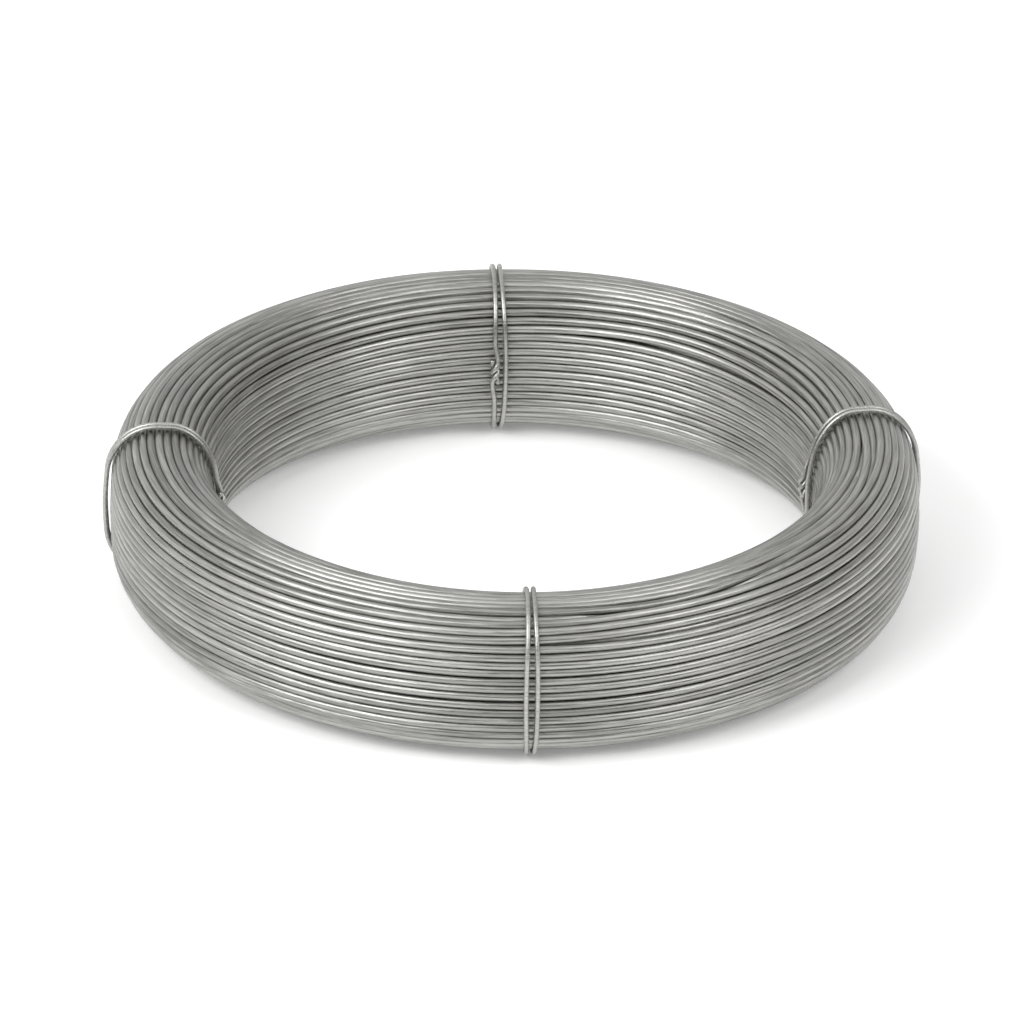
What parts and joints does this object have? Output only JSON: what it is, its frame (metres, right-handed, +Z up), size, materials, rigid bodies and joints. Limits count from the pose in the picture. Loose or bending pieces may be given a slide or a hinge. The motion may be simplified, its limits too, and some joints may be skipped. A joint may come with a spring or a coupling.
{
  "type": "coil of galvanised wire",
  "caption": "Flat-lying coil of round galvanised steel wire with an open eye, its wound turns bound by soft tie wires whose ends are twisted together on the eye's wall.",
  "frame": {"origin": "on the floor under the ties, on the axis of the coil", "axes": "+Z up along the axis of the coil, -Y towards the viewer of the picture, +X to the viewer's right"},
  "size_m": [0.4049, 0.4073, 0.0834],
  "materials": {
    "coil_wire": "drawn galvanised wire, zinc grey with a satin shine",
    "tie_wire": "soft annealed galvanised wire, slightly brighter than the coil"
  },
  "bodies": {
    "root": {"coil": "coil_wire", "tie_front": "tie_wire", "tie_right": "tie_wire", "tie_back": "tie_wire", "tie_left": "tie_wire"}
  },
  "joints": []
}
